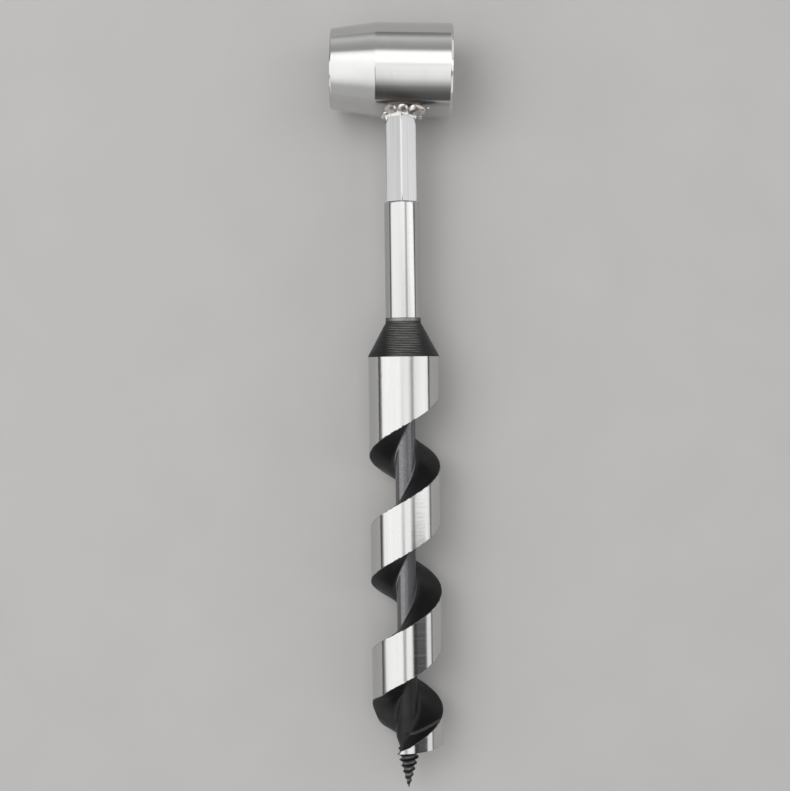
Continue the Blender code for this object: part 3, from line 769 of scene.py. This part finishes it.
leaning = bead_r + WELD_BULGE * np.maximum(highest, 0.0) * np.clip(3.0 * over, 0.0, 1.0)
weld_top = around_bit(leaning, weld_angles, bead_place + rise)
under_share = np.linspace(1.0, 0.0, 8)[1:]
under_r = inner_r + spread * under_share
under_place = eye_surface(under_r * np.sin(weld_angles), under_r * np.cos(weld_angles)) - 2.0 * WELD_SINK
weld_under = around_bit(under_r, weld_angles, under_place)
weld_bead = skin("weld_bead", np.concatenate((weld_top, weld_under), axis=1), rows_close=True)

# The bead of spatter is a drop that froze on the eye: a slightly flattened ball, rings from pole to pole.
ring = np.linspace(0.04, math.pi - 0.04, 20)[:, None]
round_drop = np.linspace(0.0, 2.0 * math.pi, 32, endpoint=False)
drop = np.stack(np.broadcast_arrays(
    np.sin(ring) * np.cos(round_drop), 0.8 * np.sin(ring) * np.sin(round_drop), np.cos(ring)), -1)
weld_spatter = skin("weld_spatter", crossing + SPATTER_AT + SPATTER_R * drop)

# Weld metal: bright glassy lumps with crisp highlights, a little yellowed by the heat in places.
material, tree, shader = start_material("weld_metal", "#dedcd8", 1.0, 0.2)
place = add(tree, "ShaderNodeTexCoord", {}, {}).outputs["Object"]
scale_noise = add(tree, "ShaderNodeTexNoise", {}, {
    "Vector": place, "Scale": 1.0 / (1.6 * MM), "Detail": 4.0, "Roughness": 0.6})
tone = add(tree, "ShaderNodeValToRGB", {}, {"Fac": scale_noise.outputs["Fac"]})
tone.color_ramp.elements[0].position = 0.35
tone.color_ramp.elements[0].color = linear("#d2cec8")
tone.color_ramp.elements[1].position = 0.55
tone.color_ramp.elements[1].color = linear("#e6e4e2")
tree.links.new(tone.outputs["Color"], shader.inputs["Base Color"])
relief = add(tree, "ShaderNodeBump", {}, {
    "Strength": 1.0, "Distance": 0.02 * MM, "Height": scale_noise.outputs["Fac"]})
tree.links.new(relief.outputs["Normal"], shader.inputs["Normal"])
weld_bead.data.materials.append(material)
weld_spatter.data.materials.append(material)
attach(weld_bead, "root")
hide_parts("eye_weld")
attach(weld_spatter, "root")

# Stage: a plain pale floor.  The tool lies on its eye and on the last turn of its twist, so the floor is
# slightly out of line with the bit: it rises by the 3.75 mm that the eye's radius is larger, over 236 mm.

FLOOR_HALF = 4.0
REST_RISE = 3.75 / 236.0

reach = np.array((-FLOOR_HALF, FLOOR_HALF))
floor_x, floor_y = np.meshgrid(reach, reach)
floor_z = (crossing[1] - floor_y) * REST_RISE
floor_mesh = bpy.data.meshes.new("floor")
floor_points = np.stack((floor_x, floor_y, floor_z), -1).reshape(-1, 3)
floor_mesh.from_pydata(floor_points.tolist(), [], [(0, 1, 3, 2)])
floor = bpy.data.objects.new("floor", floor_mesh)
bpy.context.scene.collection.objects.link(floor)

# Pale matt board with a faint mottle, so that the shadow is soft and even.
material, tree, shader = start_material("pale_board", "#adacab", 0.0, 0.85)
place = add(tree, "ShaderNodeTexCoord", {}, {}).outputs["Object"]
mottle = add(tree, "ShaderNodeTexNoise", {}, {"Vector": place, "Scale": 1.0 / (30.0 * MM), "Detail": 4.0})
tone = add(tree, "ShaderNodeMix", {"data_type": "RGBA"}, {
    "Factor": mottle.outputs["Fac"], 6: linear("#aaa9a8"), 7: linear("#b1b0af")})
tree.links.new(tone.outputs[2], shader.inputs["Base Color"])
floor_mesh.materials.append(material)

# Light: a wide white ceiling of softboxes, brightest beyond the head and fading towards the tip.  A narrow
# gap to the right of the camera widens towards the tip, where a grey seam opens to its left.  Grey walls
# with a dark skirting stand round it, with white screens in three corners and a glow at the front left.

CEILING_LEVEL = 1.6
CEILING_MIDDLE = 0.1
HORIZON_LIFT = 0.02
SCREEN_LEVEL = 1.1
SCREEN_SLANT = 0.55
GLOW_LEVEL = 0.4
SKIRTING_LEVEL = 0.2
GAP_DARKNESS = 0.92
SEAM_DARKNESS = 0.52

world = bpy.data.worlds.new("studio")
bpy.context.scene.world = world
world.use_nodes = True
tree = world.node_tree
direction = add(tree, "ShaderNodeTexCoord", {}, {}).outputs["Generated"]
ways = add(tree, "ShaderNodeSeparateXYZ", {}, {"Vector": direction})
lift = add(tree, "ShaderNodeMath", {"operation": "MAXIMUM"}, {
    0: ways.outputs["Z"], 1: HORIZON_LIFT}).outputs["Value"]
across = add(tree, "ShaderNodeMath", {"operation": "DIVIDE"}, {
    0: ways.outputs["X"], 1: lift}).outputs["Value"]
along = add(tree, "ShaderNodeMath", {"operation": "DIVIDE"}, {
    0: ways.outputs["Y"], 1: lift}).outputs["Value"]
shifted = add(tree, "ShaderNodeMath", {"operation": "ADD"}, {0: across, 1: CEILING_MIDDLE}).outputs["Value"]
off_centre = add(tree, "ShaderNodeMath", {"operation": "ABSOLUTE"}, {0: shifted}).outputs["Value"]
endways = add(tree, "ShaderNodeMath", {"operation": "ABSOLUTE"}, {0: ways.outputs["Y"]}).outputs["Value"]
right_corners = add(tree, "ShaderNodeMath", {"operation": "MULTIPLY_ADD"}, {
    0: endways, 1: SCREEN_SLANT, 2: ways.outputs["X"]}).outputs["Value"]
left_corner = add(tree, "ShaderNodeMath", {"operation": "MULTIPLY_ADD"}, {
    0: ways.outputs["Y"], 1: SCREEN_SLANT, 2: ways.outputs["X"]}).outputs["Value"]

# Shares of light: each curve runs through (position, share) points along or across the ceiling, or from
# the front to the back of the walls.
light = {}
for name, value, points in (
    ("over_eye", along, (
        (-2.4, 0.0), (-1.5, 0.06), (-1.25, 0.125), (-1.05, 0.26), (-0.88, 0.375), (-0.62, 0.62),
        (-0.4, 0.72), (-0.22, 0.74), (-0.12, 0.76), (-0.05, 0.75), (0.01, 0.69), (0.05, 0.69), (0.12, 0.94),
        (0.3, 1.0), (0.6, 0.875), (0.67, 0.625), (0.75, 0.25), (0.86, 0.0), (1.0, 0.0))),
    ("over_taper", along, (
        (-2.4, 0.0), (-1.5, 0.09), (-1.3, 0.19), (-1.07, 0.42), (-0.88, 0.62), (-0.72, 0.72),
        (-0.47, 0.78), (-0.17, 0.82), (0.1, 0.84), (0.4, 0.94), (0.53, 0.84), (0.66, 0.625), (0.75, 0.25),
        (0.86, 0.0), (1.0, 0.0))),
    ("over_bit", along, (
        (-1.3, 0.0), (-1.1, 0.15), (-0.75, 0.95), (-0.4, 1.0), (0.45, 1.0), (0.52, 0.8), (0.62, 0.1),
        (0.7, 0.0))),
    ("left_to_right", across, (
        (-7.0, 0.0), (-5.2, 0.1), (-4.2, 0.7), (-3.0, 0.85), (-1.0, 0.88), (-0.25, 0.87), (-0.05, 0.86),
        (0.1, 0.88), (0.22, 0.9), (0.35, 0.6), (0.43, 0.2), (0.52, 0.2), (0.64, 0.75), (0.8, 0.85),
        (1.6, 0.95), (3.3, 0.92), (6.5, 0.7), (9.0, 0.15), (11.0, 0.0))),
    ("walls", ways.outputs["Y"], (
        (-1.0, 0.12), (-0.9, 0.16), (-0.5, 0.24), (0.0, 0.3), (0.6, 0.42), (0.75, 0.45), (0.85, 0.55),
        (0.93, 0.72), (0.96, 0.68), (0.985, 0.4), (1.0, 0.25))),
):
    first = points[0][0]
    last = points[-1][0]
    reached = add(tree, "ShaderNodeMapRange", {}, {"Value": value, "From Min": first, "From Max": last})
    curve = add(tree, "ShaderNodeFloatCurve", {}, {"Value": reached.outputs["Result"]})
    graph = curve.mapping.curves[0]
    for position, level in points[1:-1]:
        graph.points.new((position - first) / (last - first), level)
    graph.points[0].location.y = points[0][1]
    graph.points[-1].location.y = points[-1][1]
    for point in graph.points:
        point.handle_type = "VECTOR"
    curve.mapping.update()
    light[name] = curve.outputs["Value"]

# Soft edges: nothing at the first value, one at the second.
for name, value, start, stop in (
    ("to_taper", across, -0.12, -0.26),
    ("to_sides", off_centre, 0.42, 0.62),
    ("right_side", right_corners, 0.88, 0.97),
    ("right_front", ways.outputs["Y"], 0.03, -0.07),
    ("right_back", ways.outputs["Y"], 0.22, 0.29),
    ("left_side", left_corner, -0.8, -0.9),
    ("left_front", ways.outputs["Y"], -0.25, -0.38),
    ("glow_left", ways.outputs["X"], -0.1, -0.27),
    ("glow_front", ways.outputs["Y"], -0.6, -0.8),
    ("seam_left", across, -0.27, -0.2),
    ("seam_right", across, -0.03, -0.07),
    ("seam_front", ways.outputs["Y"], 0.0, -0.19),
    ("gap_left", across, 0.28, 0.42),
    ("gap_right", across, 3.1, 1.7),
    ("gap_front", ways.outputs["Y"], -0.1, -0.15),
    ("gap_back", along, -0.72, -0.6),
    ("over_skirting", ways.outputs["Z"], 0.05, 0.13),
    ("past_skirting", endways, 0.28, 0.36),
):
    light[name] = add(tree, "ShaderNodeMapRange", {"interpolation_type": "SMOOTHSTEP"}, {
        "Value": value, "From Min": start, "From Max": stop}).outputs["Result"]
light["middle"] = add(tree, "ShaderNodeMix", {}, {
    0: light["to_taper"], 2: light["over_eye"], 3: light["over_taper"]}).outputs[0]
light["window"] = add(tree, "ShaderNodeMix", {}, {
    0: light["to_sides"], 2: 1.0, 3: light["over_bit"]}).outputs[0]

# Each row is the product, the sum or the larger of two earlier ones, or of an earlier one and a number.
for name, operation, one, other in (
    ("ceiling", "MULTIPLY", "middle", "left_to_right"),
    ("ceiling", "MULTIPLY", "ceiling", "window"),
    ("ceiling", "MULTIPLY", "ceiling", CEILING_LEVEL),
    ("right_ends", "MAXIMUM", "right_front", "right_back"),
    ("right_screen", "MULTIPLY", "right_side", "right_ends"),
    ("left_screen", "MULTIPLY", "left_side", "left_front"),
    ("screens", "ADD", "right_screen", "left_screen"),
    ("screens", "MULTIPLY", "screens", SCREEN_LEVEL),
    ("glow", "MULTIPLY", "glow_left", "glow_front"),
    ("glow", "MULTIPLY", "glow", GLOW_LEVEL),
    ("room", "ADD", "ceiling", "walls"),
    ("room", "ADD", "room", "glow"),
    ("room", "MAXIMUM", "room", "screens"),
    ("seam", "MULTIPLY", "seam_left", "seam_right"),
    ("seam", "MULTIPLY", "seam", "seam_front"),
    ("seam", "MULTIPLY", "seam", -SEAM_DARKNESS),
    ("joined", "ADD", "seam", 1.0),
    ("room", "MULTIPLY", "room", "joined"),
    ("gap", "MULTIPLY", "gap_left", "gap_right"),
    ("gap", "MULTIPLY", "gap", "gap_front"),
    ("gap", "MULTIPLY", "gap", "gap_back"),
    ("gap", "MULTIPLY", "gap", -GAP_DARKNESS),
    ("open", "ADD", "gap", 1.0),
    ("room", "MULTIPLY", "room", "open"),
    ("over_skirting", "MAXIMUM", "over_skirting", SKIRTING_LEVEL),
    ("over_skirting", "MAXIMUM", "over_skirting", "past_skirting"),
    ("room", "MULTIPLY", "room", "over_skirting"),
):
    light[name] = add(tree, "ShaderNodeMath", {"operation": operation}, {
        0: light[one], 1: light.get(other, other)}).outputs["Value"]
tree.nodes["Background"].inputs["Color"].default_value = linear("#ffffff")
tree.links.new(light["room"], tree.nodes["Background"].inputs["Strength"])

# Key: one softbox to the upper left, for a shadow to the lower right; the bright steel doesn't mirror it.

KEY_POWER = 4.5
KEY_WIDTH = 0.9
KEY_DEPTH = 0.7
KEY_PLACE = np.array((-0.55, 0.45, 1.05))

key = bpy.data.lights.new("key", "AREA")
key.shape = "RECTANGLE"
key.size = KEY_WIDTH
key.size_y = KEY_DEPTH
key.energy = KEY_POWER
key_holder = bpy.data.objects.new("key", key)
key_holder.location = KEY_PLACE
key_holder.visible_glossy = False
aim = crossing - KEY_PLACE
key_holder.rotation_euler = (
    math.atan2(math.hypot(aim[0], aim[1]), -aim[2]), 0.0, math.atan2(aim[1], aim[0]) - math.pi / 2.0)
bpy.context.scene.collection.objects.link(key_holder)

# Camera: above the tool, looking straight down on the floor, with the bit a little out of upright in the
# picture.  The focal share is the focal length over the picture's width.

CAMERA_HEIGHT = 0.4925
CAMERA_ASIDE = -3.1 * MM
CAMERA_DOWN_BIT = -114.06 * MM
CAMERA_TURN = math.radians(0.72)
FOCAL_SHARE = 1400.0 / 790.0

rest_tilt = math.atan(REST_RISE)
camera = bpy.data.cameras.new("camera")
camera.sensor_fit = "HORIZONTAL"
camera.angle = 2.0 * math.atan(0.5 / FOCAL_SHARE)
camera.clip_start = 0.01
holder = bpy.data.objects.new("camera", camera)
holder.location = crossing + np.array((
    CAMERA_ASIDE,
    CAMERA_DOWN_BIT + CAMERA_HEIGHT * math.sin(rest_tilt),
    CAMERA_HEIGHT * math.cos(rest_tilt),
))
holder.rotation_euler = (-rest_tilt, 0.0, -CAMERA_TURN)
bpy.context.scene.collection.objects.link(holder)
bpy.context.scene.camera = holder
bpy.context.scene.view_settings.view_transform = "Standard"
